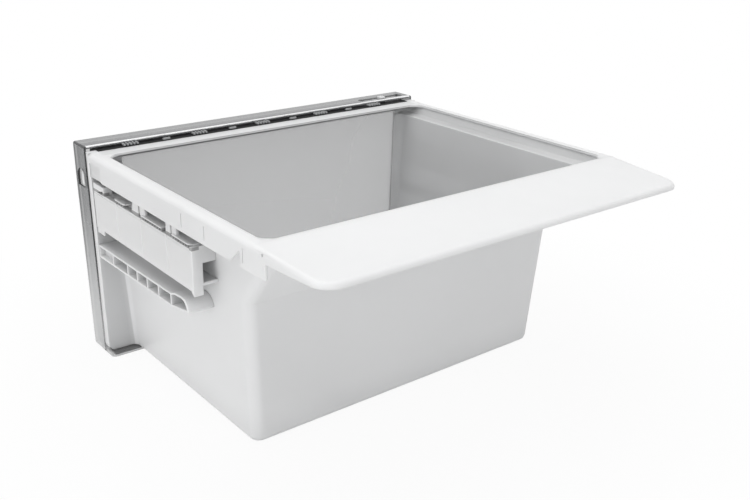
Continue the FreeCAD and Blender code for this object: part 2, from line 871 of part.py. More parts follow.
def ports(name, low, high):
    """The row of air ports, one under each group of fins."""
    return [box(f"{name}_{i}",
                (group_centre(index) - d.port_length / 2, group_centre(index) + d.port_length / 2),
                (port_middle - d.port_width / 2, port_middle + d.port_width / 2), (low, high))
            for i, index in enumerate(VENT_GROUPS)]


def make_grille():
    """The grille: an upside-down channel with inner lips, ports, fins over them and hooks."""
    ends = (-grille_half, grille_half)
    near, far = grille_near, plate_front
    channel = box("grille_channel", ends, (near, far), (grille_bottom, grille_top))
    room = box("grille_room", (-grille_half + d.grille_wall, grille_half - d.grille_wall),
               (near + d.grille_wall, far - d.grille_wall),
               (grille_bottom + d.grille_lip, grille_ceiling))
    mouth = box("grille_mouth", (-grille_half + d.grille_wall, grille_half - d.grille_wall),
                (near + d.grille_wall + d.grille_lip_width, far - d.grille_wall - d.grille_lip_width),
                (grille_bottom - OVERLAP, grille_bottom + d.grille_lip))
    stem_reach = d.shutter_travel + d.tab_length / 2 + d.end_clearance
    stem_slot = box("grille_stem_slot", (tab_home - stem_reach, tab_home + stem_reach),
                    (tab_middle - d.stem_width / 2 - d.slide_clearance,
                     tab_middle + d.stem_width / 2 + d.slide_clearance),
                    (grille_ceiling - OVERLAP, grille_top + OVERLAP))
    shell = cut("grille_shell", channel,
                [room, mouth, stem_slot,
                 *ports("grille_port", grille_ceiling - OVERLAP, grille_top + OVERLAP)])
    fins, hooks = [], []
    first = -(d.fin_pitch * (d.fin_count.value - 1) / 2)
    for i, index in enumerate(VENT_GROUPS):
        for k in range(int(d.fin_count.value)):
            middle = group_centre(index) + first + d.fin_pitch * k
            fins.append(box(f"grille_fin_{i}_{k}",
                            (middle - d.fin_thickness / 2, middle + d.fin_thickness / 2),
                            (cover_rear + d.seat_clearance, plate_front),
                            (grille_top - d.grille_roof / 2, grille_top + d.fin_height)))
        if index == VENT_GROUPS[-1]:
            continue
        middle = group_centre(index) + d.vent_pitch / 2
        hooks.append(prism(f"grille_hook_{i}", "x",
                           (middle - d.vent_hook_length / 2, middle + d.vent_hook_length / 2), [
                               (cover_rear + d.seat_clearance, grille_top - d.grille_roof / 2),
                               (plate_front, grille_top - d.grille_roof / 2),
                               (plate_front, grille_top + d.fin_height),
                               (plate_front - d.grille_wall, grille_top + d.fin_height)]))
    return fuse("vent_grille", [shell, *fins, *hooks])


def make_shutter():
    """The shutter: a flat strip with the same ports as the grille, which closes them as it slides."""
    half = grille_half - d.grille_wall - d.shutter_travel - d.end_clearance
    strip = box("shutter_strip", (-half, half),
                (grille_near + d.grille_wall + d.slide_clearance,
                 plate_front - d.grille_wall - d.slide_clearance), (shutter_bottom, shutter_top))
    peg_hole = cylinder("shutter_peg_hole", tab_home, tab_middle,
                        (shutter_bottom - OVERLAP, shutter_top + OVERLAP),
                        d.peg_diameter + d.peg_play)
    return cut("vent_shutter", strip,
               [peg_hole, *ports("shutter_port", shutter_bottom - OVERLAP, shutter_top + OVERLAP)])


def make_tab():
    """The knob: a block in the cover's slot, on a stem that stands on the shutter with a peg."""
    block = prism("tab_block", "z", (roof_bottom, d.drawer_height + d.tab_rise), [
        (tab_home - d.tab_length / 2, tab_middle - d.tab_width / 2, d.tab_radius),
        (tab_home + d.tab_length / 2, tab_middle - d.tab_width / 2, d.tab_radius),
        (tab_home + d.tab_length / 2, tab_middle + d.tab_width / 2, d.tab_radius),
        (tab_home - d.tab_length / 2, tab_middle + d.tab_width / 2, d.tab_radius)])
    stem = box("tab_stem", (tab_home - d.tab_length / 2, tab_home + d.tab_length / 2),
               (tab_middle - d.stem_width / 2, tab_middle + d.stem_width / 2),
               (shutter_top, roof_bottom + OVERLAP / 2))
    peg = cylinder("tab_peg", tab_home, tab_middle, (shutter_bottom, shutter_top + OVERLAP / 2),
                   d.peg_diameter)
    return fuse("slider_tab", [block, stem, peg])


# Side brackets

bracket_half = plate_half - d.bracket_setback
bracket_top = rim_top - d.bracket_drop
bracket_bottom = bracket_top - d.bracket_height
# Forms that end on the tub's drafted wall start well inside it
wall_side = ledge_half - d.side_draft - d.tub_radius


def make_bracket(bin_form):
    """The right bracket: plate, shelf, ceiling and ribs on the tub's wall, with lids and clips."""
    start, end = plate_rear, front + d.bracket_end
    skin = bracket_half - d.bracket_plate
    ceiling_bottom = bracket_bottom + d.bracket_ceiling_rise
    ceiling_top = ceiling_bottom + d.bracket_ceiling
    shelf_bottom = bracket_top - d.bracket_shelf
    lid_bottom = bracket_top + d.lid_rise
    solids = [
        box("bracket_skin", (skin, bracket_half), (start, end),
            (bracket_bottom, shelf_bottom + d.lid_sink)),
        box("bracket_shelf_plate", (wall_side, bracket_half - d.lid_sink), (start, end),
            (shelf_bottom, bracket_top)),
        box("bracket_ceiling_plate", (wall_side, bracket_half), (start, end),
            (ceiling_bottom, ceiling_top)),
        box("bracket_toe_plate", (skin, bracket_half),
            (start + d.bracket_toe_gap, start + d.bracket_toe_gap + d.bracket_toe),
            (bracket_bottom - d.bracket_toe_drop, bracket_bottom + OVERLAP)),
        box("bracket_end_plate", (wall_side, bracket_half), (end - d.plate, end),
            (ceiling_bottom, lid_bottom)),
        prism("bracket_post", "x",
              (bracket_half - d.bracket_post_width, bracket_half + d.bracket_rib_proud), [
                  (end - d.bracket_post_length, bracket_bottom),
                  (end, bracket_bottom - d.bracket_post_drop),
                  (end, lid_bottom),
                  (end - d.bracket_post_length, lid_bottom)]),
    ]
    for i, middle in enumerate(places("bracket_rib_place")):
        solids.append(box(f"bracket_rib_{i}", (wall_side, bracket_half + d.bracket_rib_proud),
                          (middle - d.bracket_rib / 2, middle + d.bracket_rib / 2),
                          (ceiling_bottom, bracket_top)))
    lid_inner = bracket_half - d.lid_depth
    starts, ends = places("lid_start"), places("lid_end")
    # The short lid bows at both ends, and the last one is rounded at the rear
    for i, (near, far) in enumerate(zip(starts, ends)):
        near_radius = (d.lid_radius,) if near is starts[0] else ()
        far_radius = () if i == 1 else (d.lid_radius,)
        solids.append(prism(f"bracket_lid_{i}", "z", (lid_bottom, lid_bottom + d.lid_thickness), [
            (lid_inner, near), (bracket_half, near, *near_radius),
            (bracket_half, far, *far_radius), (lid_inner, far)]))
        solids.append(box(f"bracket_lid_back_{i}", (lid_inner, lid_inner + d.bracket_rib),
                          (near, far), (bracket_top - OVERLAP, lid_bottom + d.lid_thickness)))
        first = near + (d.lid_radius if near_radius else 0)
        last = far - (d.lid_radius if far_radius else 0) - d.comb_tooth
        teeth = int(round((last.value - first.value) / d.comb_pitch.value))
        for k in range(teeth + 1):
            tooth = first + (last - first) * k / teeth
            solids.append(box(f"bracket_comb_{i}_{k}", (lid_inner, bracket_half - d.lid_sink),
                              (tooth, tooth + d.comb_tooth),
                              (bracket_top - OVERLAP, lid_bottom + d.lid_thickness / 2)))
    finger_outer = rim_half - d.wall - d.finger_clearance
    finger_top = bracket_top + d.finger_rise
    corners = [places(f"finger_{name}") for name in ("foot_start", "foot_end", "tip_end", "tip_start")]
    for i, (foot_start, foot_end, tip_end, tip_start) in enumerate(zip(*corners)):
        solids.append(prism(f"bracket_finger_{i}", "x", (finger_outer - d.finger_plate, finger_outer), [
            (foot_start, bracket_top - OVERLAP), (foot_end, bracket_top - OVERLAP),
            (tip_end, finger_top), (tip_start, finger_top)]))
    clip_end = start + d.clip_length
    solids.append(box("bracket_clip", (lid_inner, bracket_half), (start, clip_end),
                      (bracket_top - OVERLAP, bracket_top + d.clip_height)))
    hole_low, hole_end = bracket_top + d.lid_sink, clip_end - d.clip_hole_inset
    clip_hole = prism("bracket_clip_hole", "x",
                      (bracket_half - d.bracket_plate, bracket_half + OVERLAP), [
                          (hole_end - d.clip_hole, hole_low), (hole_end, hole_low),
                          (hole_end, hole_low + d.clip_hole_height)])
    pocket_outer = bracket_half - d.bracket_post_width - d.seat_clearance
    pocket_bottom = bracket_bottom + d.pocket_sill
    pocket = box("bracket_pocket", (pocket_outer - d.pocket_width, pocket_outer),
                 (end - d.plate - OVERLAP, end + OVERLAP),
                 (pocket_bottom, pocket_bottom + d.pocket_height))
    whole = fuse("bracket_whole", solids)
    return cut("side_bracket_right", whole, fuse("bracket_tools", [bin_form, clip_hole, pocket]))


# Runner rails

rail_half = bracket_half
rail_top = bracket_bottom - d.channel_height


rail_low = rail_top - d.rail_height + d.rail_climb
rail_high = rail_top + d.rail_climb
rail_bend = front + d.rail_straight
rail_tip = front + d.rail_end
nose_low = rail_high - d.rail_nose_drop


def rail_outline():
    """The rail seen from the side: a straight run that climbs a little, then a drooping nose."""
    return [
        (plate_rear, rail_top - d.rail_height),
        (rail_bend, rail_low),
        (rail_tip - d.rail_nose_face, nose_low),
        (rail_tip, nose_low + d.rail_nose),
        (rail_tip - d.rail_nose_run, rail_high + d.rail_hump, d.rail_nose_radius),
        (rail_bend + d.rail_nose_slope, rail_high + d.rail_rise, d.rail_hump_radius),
        (rail_bend, rail_high),
        (plate_rear, rail_top),
    ]


def rail_cells(near, last_rib):
    """The rail's hollow, from its front end to the last rib, and the cell in the nose."""
    skin = d.rail_skin
    span = (ledge_half - OVERLAP, rail_half + OVERLAP)
    straight = prism("rail_straight_cells", "x", span, [
        (near, rail_top - d.rail_height + skin), (last_rib, rail_low + skin),
        (last_rib, rail_high - skin), (near, rail_top - skin)])
    nose = prism("rail_nose_cell", "x", span, [
        (last_rib, rail_low + skin),
        (rail_tip - skin * 2, nose_low + skin),
        (rail_tip - d.rail_nose_run - skin, rail_high + d.rail_hump - skin,
         d.rail_nose_radius - skin),
        (rail_bend + d.rail_nose_slope, rail_high + d.rail_rise - skin),
        (last_rib, rail_high - skin)])
    return fuse("rail_cells", [straight, nose])


def make_rail(bin_form):
    """The right rail: a solid bar on the tub's wall, with ribbed cells open to the outside."""
    bar = prism("rail_bar", "x", (wall_side, rail_half), rail_outline())
    rib_places = places("rail_rib_place")
    first_rib, last_rib = rib_places[0], rib_places[-1]
    cells = rail_cells(plate_rear + d.rail_skin, last_rib)
    ribs = [box(f"rail_rib_{i}", (wall_side, rail_half + OVERLAP),
                (place - d.rail_rib / 2, place + d.rail_rib / 2),
                (rail_top - d.rail_height, rail_high + d.rail_rise))
            for i, place in enumerate(rib_places)]
    ribs.append(box("rail_front_fill", (wall_side, rail_half - d.rail_front_depth),
                    (plate_rear, first_rib), (rail_top - d.rail_height, rail_top)))
    open_cells = cut("rail_open_cells", cells, ribs)
    return cut("runner_rail_right", bar, fuse("rail_tools", [bin_form, open_cells]))


def check(nodes):
    """Stop if any object failed to build, or any node isn't one sound solid."""
    doc.recompute()
    failed = [item.Name for item in doc.Objects
              if any(word in item.State for word in ("Invalid", "Error"))]
    if failed:
        raise RuntimeError("failed objects: " + ", ".join(failed))
    for node in nodes:
        shape = node.Shape
        if shape.isNull() or not shape.isValid() or len(shape.Solids) != 1:
            raise RuntimeError(f"{node.Label} isn't one sound solid ({len(shape.Solids)})")


def write(nodes):
    """Write each node's shape to its own STEP file."""
    os.makedirs("parts", exist_ok=True)
    for node in nodes:
        node.Shape.exportStep(f"parts/{node.Label}.step")
        room = node.Shape.BoundBox
        print(f"{node.Label:22s} {node.Shape.Volume:11.1f} mm3  x {room.XMin:8.2f} {room.XMax:8.2f}"
              f"  y {room.YMin:8.2f} {room.YMax:8.2f}  z {room.ZMin:7.2f} {room.ZMax:7.2f}")


crisper_bin, bin_form = make_bin()
bracket = make_bracket(bin_form)
rail = make_rail(bin_form)
pieces = [
    crisper_bin, make_cover(), make_window(), make_trim(),
    make_grille(), make_shutter(), make_tab(),
    bracket, mirrored("side_bracket_left", bracket),
    rail, mirrored("runner_rail_left", rail),
]
check(pieces)
write(pieces)
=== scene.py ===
import math

import bmesh
import bpy
import numpy as np
from mathutils import Matrix, Vector
from mathutils.bvhtree import BVHTree


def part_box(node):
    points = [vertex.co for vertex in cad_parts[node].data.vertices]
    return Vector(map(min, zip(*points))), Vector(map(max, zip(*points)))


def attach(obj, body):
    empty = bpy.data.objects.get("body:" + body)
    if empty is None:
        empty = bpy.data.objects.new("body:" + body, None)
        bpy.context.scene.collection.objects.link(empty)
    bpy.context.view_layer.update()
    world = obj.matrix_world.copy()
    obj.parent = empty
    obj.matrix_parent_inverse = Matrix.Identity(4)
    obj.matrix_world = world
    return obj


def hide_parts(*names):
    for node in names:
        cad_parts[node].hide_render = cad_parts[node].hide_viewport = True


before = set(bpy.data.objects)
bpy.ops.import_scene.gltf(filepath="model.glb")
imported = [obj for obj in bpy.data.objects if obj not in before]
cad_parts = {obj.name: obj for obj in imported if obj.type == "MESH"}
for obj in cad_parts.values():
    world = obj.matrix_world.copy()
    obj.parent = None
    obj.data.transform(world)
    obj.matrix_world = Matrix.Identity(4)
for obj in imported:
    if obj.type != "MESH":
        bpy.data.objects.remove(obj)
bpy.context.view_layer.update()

MM = 0.001

# Camera of the photograph: place, direction, roll and lens
CAMERA_PLACE = Vector((0.4953, 0.6270, 0.4304))
CAMERA_AZIMUTH = math.radians(141.23)
CAMERA_ELEVATION = math.radians(21.52)
CAMERA_ROLL = math.radians(0.98)
CAMERA_LENS = 45.05
SENSOR_WIDTH = 36.0
CLIP_START = 0.01

# Surround and floor: light on the object, half size, drop, reach and share of the floor's shadow
AMBIENT = 0.53
FLOOR_HALF = 9.0
FLOOR_DROP = 0.5 * MM
SHADOW_REACH = (0.22, 0.5)
SHADOW_GLOW = 0.93

# Each lamp: its place, the point it looks at, its size in metres and its power in watts
LAMPS = {
    "top_lamp": ((0.1, -0.1, 1.6), (0, 0, 0.1), (1.6, 1.6), 12),
    "side_lamp": ((1.7, 0.2, 0.5), (0, 0, 0.12), (1.2, 1.2), 5.5),
    "rear_lamp": ((0.9, 1.5, 0.5), (0, 0, 0.12), (1.2, 1.2), 4.5),
}

# Softened copies: merged points, slivers, flat joints, bevelled edges, sharp edges, stray points
MERGE_REACH = 0.16 * MM
SLIVER = 0.01 * MM
FLAT_TURN = math.radians(2.2)
EDGE_TURN = math.radians(30)
SHARP_TURN = math.radians(38)
STRAY_SHARE = 0.5

# Moulded plastic: reach of the hollows' shade, light that soaks in, waves and grain of the skin
HOLLOW_REACH = 45 * MM
SOAK_SHARE = 0.6
SOAK_DEPTH = 6 * MM
WALL_WAVE = 0.25 * MM
SKIN_GRAIN = 0.02 * MM

# Smoked plastic: its paler colour towards the bottom, the painted shade where light leaves at an edge,
# how much the cut edges hide, and the share of painted shade on the outline
FADED_SMOKE = (0.60, 0.605, 0.61)
EDGE_SHADE = (0.02, 0.021, 0.022)
EDGE_COVER = 0.96
OUTLINE_SHADE_SHARE = 0.85

# Where finishes, painted light and painted shade change, in millimetres: each pair is the two ends of a
# soft step
STRIP_REAR = (-147.8, -147.0)
STRIP_TOP = (198.5, 199.0)
STRIP_END = (179.5, 183.5)
LINE_FRONT = (-148.0, -147.7)
LINE_REAR = (-145.0, -144.7)
LINE_FOOT = (197.2, 197.4)
LINE_TOP = (198.4, 198.9)
LINE_END = (178.0, 178.5)
LID_FOOT = (166.4, 166.6)
LID_TOP = (169.0, 169.2)
LID_SIDE = (184.0, 184.5)
CUT_INSIDE = (188.7, 188.9)
CUT_OUTSIDE = (190.5, 190.75)
CUT_REAR = (-167.9, -167.7)
FADE_FOOT = (30, 170)
TONGUE_TOP = (2.1, 2.5)
TONGUE_ABOVE = (3.0, 3.4)
TONGUE_FRONT = (-167.2, -166.8)
TONGUE_SIDE = (186.0, 188.5)
FACE_REAR = (-187.4, -187.0)
FACE_SIDE = (187.0, 187.6)
ROOF_FOOT = (202.1, 202.4)
FIN_FOOT = (201.2, 202.0)
NO_FINS = (300.0, 300.8)

# How far those finishes and painted shades go
STRIP_SHADE_LEVEL = 0.86
LINE_SHADOW_LEVEL = 0.30
LID_SHADE_LEVEL = 0.45
CUT_LOW_SHARE = 0.45
CUT_FULL_HEIGHT = 120 * MM
TONGUE_SHARE = 0.9
FACE_COVER = 0.55
ROOF_COVER = 1.22
COVER_TAPER = 0.00586


def clear_defaults():
    """Take away whatever the start file holds besides the frame."""
    for name in ("Cube", "Light", "Camera"):
        if name in bpy.data.objects:
            bpy.data.objects.remove(bpy.data.objects[name])


def photo_camera():
    """The photograph's camera: its back axis from azimuth and elevation, then a small roll."""
    azimuth, elevation, roll = CAMERA_AZIMUTH, CAMERA_ELEVATION, CAMERA_ROLL
    back = Vector((math.sin(azimuth) * math.cos(elevation),
                   -math.cos(azimuth) * math.cos(elevation), math.sin(elevation)))
    level = back.cross(Vector((0, 0, 1))).normalized() * -1
    upright = level.cross(-back)
    across = level * math.cos(roll) + upright * math.sin(roll)
    above = upright * math.cos(roll) - level * math.sin(roll)
    camera = bpy.data.objects.new("photo_camera", bpy.data.cameras.new("photo_camera"))
    camera.data.lens = CAMERA_LENS
    camera.data.sensor_width = SENSOR_WIDTH
    camera.data.clip_start = CLIP_START
    camera.matrix_world = Matrix.Translation(CAMERA_PLACE) @ Matrix(
        (across, above, back)).transposed().to_4x4()
    bpy.context.collection.objects.link(camera)
    bpy.context.scene.camera = camera


# Node helpers

def add(tree, kind, settings=None, **sockets):
    """One shader node: settings on the node, values or links on its input sockets."""
    node = tree.nodes.new(kind)
    for name, value in (settings or {}).items():
        setattr(node, name, value)
    for name, value in sockets.items():
        key = int(name[1:]) if name[1:].isdigit() else name.replace("_", " ")
        if isinstance(value, bpy.types.NodeSocket):
            tree.links.new(value, node.inputs[key])
        else:
            node.inputs[key].default_value = value
    return node


def blank_material(name):
    """A node material with its surface shader, and Object coordinates to draw on."""
    material = bpy.data.materials.new(name)
    material.use_nodes = True
    tree = material.node_tree
    shader = tree.nodes["Principled BSDF"]
    place = tree.nodes.new("ShaderNodeTexCoord").outputs["Object"]
    return material, tree, shader, place


def mottle(tree, place, scale, low, high, detail=3.0):
    """A soft cloud pattern that runs between two values."""
    cloud = add(tree, "ShaderNodeTexNoise", Vector=place, Scale=scale, Detail=detail)
    return add(tree, "ShaderNodeMapRange", Value=cloud.outputs["Fac"], From_Min=0.3, From_Max=0.7,
               To_Min=low, To_Max=high).outputs["Result"]


def tint(tree, factor, first, second):
    """A colour that a factor carries from one to another."""
    blend = add(tree, "ShaderNodeMix", {"data_type": "RGBA"}, Factor=factor)
    blend.inputs[6].default_value = (*first, 1)
    blend.inputs[7].default_value = (*second, 1)
    return blend.outputs[2]


def turned(tree, colour, factor, target):
    """A pattern's colour that a factor carries over to a plain one."""
    blend = add(tree, "ShaderNodeMix", {"data_type": "RGBA"}, Factor=factor)
    tree.links.new(colour, blend.inputs[6])
    blend.inputs[7].default_value = (*target, 1)
    return blend.outputs[2]


def darkened(tree, colour, factor):
    """A colour times a factor between 0 and 1."""
    blend = add(tree, "ShaderNodeMix", {"data_type": "RGBA", "blend_type": "MULTIPLY"}, Factor=1.0)
    tree.links.new(colour, blend.inputs[6])
    tree.links.new(factor, blend.inputs[7])
    return blend.outputs[2]


def ramp(tree, kind, value, low, high, start=0.0, end=1.0):
    """A straight or smooth ramp of a value from one place to another."""
    return add(tree, "ShaderNodeMapRange", {"interpolation_type": kind}, Value=value,
               From_Min=low, From_Max=high, To_Min=start, To_Max=end).outputs["Result"]


def rise(tree, value, step):
    """0 before a step in millimetres, 1 past it."""
    return ramp(tree, "LINEAR", value, step[0] * MM, step[1] * MM)


def fall(tree, value, step, level=1.0):
    """A level before a step in millimetres, 0 past it."""
    return ramp(tree, "LINEAR", value, step[0] * MM, step[1] * MM, level, 0.0)


def changed(tree, factor, level):
    """1 where a factor is 0, and a level where it is 1."""
    return ramp(tree, "LINEAR", factor, 0.0, 1.0, 1.0, level)


def times(tree, first, second, operation="MULTIPLY"):
    """Two factors worked into one."""
    node = add(tree, "ShaderNodeMath", {"operation": operation})
    for socket, value in zip(node.inputs, (first, second)):
        if isinstance(value, bpy.types.NodeSocket):
            tree.links.new(value, socket)
        else:
            socket.default_value = value
    return node.outputs[0]


def all_of(tree, first, *others):
    """The product of several factors."""
    for factor in others:
        first = times(tree, first, factor)
    return first


def axes(tree, place):
    """The three coordinates of a place, the first without its sign."""
    split = add(tree, "ShaderNodeSeparateXYZ", Vector=place)
    return times(tree, split.outputs["X"], 0.0, "ABSOLUTE"), split.outputs["Y"], split.outputs["Z"]


def inner_wall_shade(tree, place, level):
    """Painted shade: a factor that falls to a level on walls that face the middle of the bin."""
    flat = add(tree, "ShaderNodeVectorMath", {"operation": "MULTIPLY"}, _0=place, _1=(1, 1, 0))
    outward = add(tree, "ShaderNodeVectorMath", {"operation": "DOT_PRODUCT"},
                  _0=flat.outputs["Vector"],
                  _1=tree.nodes.new("ShaderNodeNewGeometry").outputs["Normal"])
    return ramp(tree, "LINEAR", outward.outputs["Value"], -0.04, -0.01, level, 1.0)


# Finishes

def moulded(name, pale, deep, roughness, hollow_shade, shade=None, inside_shade=1.0):
    """Moulded plastic: painted shade in its hollows and, where given, painted shade by place and on the
    inner walls; slow waves in the walls, a fine grain, a faint mottle.
    """
    material, tree, shader, place = blank_material(name)
    colour = tint(tree, mottle(tree, place, 9.0, 0.0, 1.0), deep, pale)
    # Painted shade: the colour darkens where other surfaces lie near, as in hollows
    near = add(tree, "ShaderNodeAmbientOcclusion", {"samples": 8}, Distance=HOLLOW_REACH)
    colour = darkened(tree, colour, ramp(tree, "LINEAR", near.outputs["AO"], 0.15, 0.85, hollow_shade))
    if shade:
        colour = darkened(tree, colour, shade(tree, *axes(tree, place)))
    # Painted shade on the walls inside the bin
    if inside_shade < 1.0:
        colour = darkened(tree, colour, inner_wall_shade(tree, place, inside_shade))
    tree.links.new(colour, shader.inputs["Base Color"])
    tree.links.new(mottle(tree, place, 40.0, roughness - 0.05, roughness + 0.06),
                   shader.inputs["Roughness"])
    shader.inputs["Subsurface Weight"].default_value = SOAK_SHARE
    shader.inputs["Subsurface Radius"].default_value = (SOAK_DEPTH, SOAK_DEPTH, SOAK_DEPTH)
    shader.inputs["Subsurface Scale"].default_value = 1.0
    slow = add(tree, "ShaderNodeTexNoise", Vector=place, Scale=14.0, Detail=1.0)
    walls = add(tree, "ShaderNodeBump", Height=slow.outputs["Fac"], Distance=WALL_WAVE, Strength=1.0)
    fine = add(tree, "ShaderNodeTexNoise", Vector=place, Scale=1400.0, Detail=2.0)
    skin = add(tree, "ShaderNodeBump", Height=fine.outputs["Fac"], Distance=SKIN_GRAIN, Strength=1.0,
               Normal=walls.outputs["Normal"])
    tree.links.new(skin.outputs["Normal"], shader.inputs["Normal"])
    return material


def see_through(name, pale, deep, roughness, face_on, edge_on, cut_edge_shade=None, fade=None,
                clear=None):
    """Tinted clear plastic: it hides more where it is seen along its skin, and at its cut edges, where
    its colour turns to painted shade, as it does along its outline.
    """
    material, tree, shader, place = blank_material(name)
    colour = tint(tree, mottle(tree, place, 6.0, 0.0, 1.0), deep, pale)
    tree.links.new(mottle(tree, place, 60.0, roughness, roughness + 0.05),
                   shader.inputs["Roughness"])
    facing = add(tree, "ShaderNodeLayerWeight", Blend=0.35).outputs["Facing"]
    cover = ramp(tree, "LINEAR", facing, 0.15, 0.95, face_on, edge_on)
    if clear:
        cover = times(tree, cover, clear(tree, *axes(tree, place)))
    if fade:
        colour = turned(tree, colour, fade(tree, *axes(tree, place)), FADED_SMOKE)
    if cut_edge_shade:
        # Painted shade along the outline, where the skin is seen edge-on
        outline = ramp(tree, "SMOOTHSTEP", facing, 0.62, 0.92, 0.0, OUTLINE_SHADE_SHARE)
        band = times(tree, cut_edge_shade(tree, *axes(tree, place)), outline, "MAXIMUM")
        colour = turned(tree, colour, band, EDGE_SHADE)
        cover = times(tree, cover, times(tree, band, EDGE_COVER), "MAXIMUM")
    tree.links.new(colour, shader.inputs["Base Color"])
    tree.links.new(cover, shader.inputs["Alpha"])
    return material


def bright_metal(name, colour, roughness):
    """Bright drawn strip: fine streaks along its length."""
    material, tree, shader, place = blank_material(name)
    along = add(tree, "ShaderNodeMapping", Vector=place, Scale=(3.0, 900.0, 900.0))
    streaks = add(tree, "ShaderNodeTexNoise", Vector=along.outputs["Vector"], Scale=1.0, Detail=2.0)
    shader.inputs["Metallic"].default_value = 1.0
    tree.links.new(tint(tree, streaks.outputs["Fac"], [c * 0.9 for c in colour], colour),
                   shader.inputs["Base Color"])
    tree.links.new(mottle(tree, along.outputs["Vector"], 1.0, roughness - 0.04, roughness + 0.05),
                   shader.inputs["Roughness"])
    bump = add(tree, "ShaderNodeBump", Height=streaks.outputs["Fac"], Distance=0.01 * MM,
               Strength=0.6)
    tree.links.new(bump.outputs["Normal"], shader.inputs["Normal"])
    return material


def vent_black(name, dark, lit_top, fins):
    """Dark matte plastic, with painted light on the fins and hooks, which stand above a step."""
    material, tree, shader, place = blank_material(name)
    # Painted light: the fins and hooks above the step are paler, as if lit from above
    above = rise(tree, axes(tree, place)[2], fins)
    tree.links.new(tint(tree, above, dark, lit_top), shader.inputs["Base Color"])
    tree.links.new(mottle(tree, place, 300.0, 0.42, 0.6), shader.inputs["Roughness"])
    shader.inputs["Specular IOR Level"].default_value = 0.2
    fine = add(tree, "ShaderNodeTexNoise", Vector=place, Scale=1800.0, Detail=2.0)
    skin = add(tree, "ShaderNodeBump", Height=fine.outputs["Fac"], Distance=0.03 * MM, Strength=1.0)
    tree.links.new(skin.outputs["Normal"], shader.inputs["Normal"])
    return material


# Where a finish or painted shade changes on its piece, by place

def strip_shade(tree, x, y, z):
    """Painted shade: the bin's front strip is darker than the rest of the rim, with a painted shadow
    line at its edge.
    """
    top = all_of(tree, fall(tree, y, STRIP_REAR), rise(tree, z, STRIP_TOP),
                 fall(tree, x, STRIP_END))
    # Painted shadow line under the strip's edge
    line = all_of(tree, rise(tree, y, LINE_FRONT), fall(tree, y, LINE_REAR),
                  rise(tree, z, LINE_FOOT), fall(tree, z, LINE_TOP), fall(tree, x, LINE_END))
    return times(tree, changed(tree, top, STRIP_SHADE_LEVEL), changed(tree, line, LINE_SHADOW_LEVEL))


def lid_shade(tree, x, y, z):
    """Painted shade: the combs under the bracket's lids lie in their own shade."""
    under = all_of(tree, rise(tree, z, LID_FOOT), fall(tree, z, LID_TOP), rise(tree, x, LID_SIDE))
    return changed(tree, under, LID_SHADE_LEVEL)


def cover_cut(tree, x, y, z):
    """Painted shade at the cut edges of the cover's sides, where light runs out: black above, greyer at
    the foot.

    How far out a place is in the side is measured square to the side's taper. The tongue's top
    lies in the shade of the bin's floor.
    """
    depth = times(tree, x, times(tree, z, COVER_TAPER), "SUBTRACT")
    band = all_of(tree, rise(tree, depth, CUT_INSIDE), fall(tree, depth, CUT_OUTSIDE),
                  fall(tree, y, CUT_REAR),
                  ramp(tree, "SMOOTHSTEP", z, 0.0, CUT_FULL_HEIGHT, CUT_LOW_SHARE, 1.0))
    # Painted shadow on the tongue's top
    foot = all_of(tree, rise(tree, z, TONGUE_TOP), fall(tree, z, TONGUE_ABOVE),
                  rise(tree, y, TONGUE_FRONT), fall(tree, x, TONGUE_SIDE, TONGUE_SHARE))
    return times(tree, band, foot, "MAXIMUM")


def cover_fade(tree, x, y, z):
    """The cover's colour turns paler towards its bottom."""
    return ramp(tree, "SMOOTHSTEP", z, FADE_FOOT[0] * MM, FADE_FOOT[1] * MM, 1.0, 0.0)


def cover_clear(tree, x, y, z):
    """The cover's broad face lets more light through than its sides, and its roof less."""
    face = all_of(tree, fall(tree, y, FACE_REAR), fall(tree, x, FACE_SIDE),
                  fall(tree, z, ROOF_FOOT))
    roof = changed(tree, rise(tree, z, ROOF_FOOT), ROOF_COVER)
    return times(tree, changed(tree, face, FACE_COVER), roof)


# Softened copies of the solids, and pieces carried along a path

def dress(piece, body, node, finish):
    """Give a piece its finish and its body, and hide the node that it stands for."""
    piece.data.materials.clear()
    piece.data.materials.append(finish)
    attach(piece, body)
    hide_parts(node)


def place_mesh(name, mesh):
    """An object at the origin that holds a finished mesh."""
    piece = bpy.data.objects.new(name, mesh)
    bpy.context.collection.objects.link(piece)
    return piece


def merged_form(node):
    """A solid's mesh with its triangles merged, its flat ones joined and large faces cut up."""
    form = bmesh.new()
    form.from_mesh(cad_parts[node].data)
    bmesh.ops.remove_doubles(form, verts=form.verts, dist=MERGE_REACH)
    bmesh.ops.dissolve_degenerate(form, edges=form.edges, dist=SLIVER)
    bmesh.ops.dissolve_limit(form, angle_limit=FLAT_TURN, verts=form.verts, edges=form.edges)
    bmesh.ops.delete(form, geom=[v for v in form.verts if not v.link_faces], context="VERTS")
    bmesh.ops.triangulate(form, faces=[face for face in form.faces if len(face.verts) > 4])
    bmesh.ops.recalc_face_normals(form, faces=form.faces)
    return form


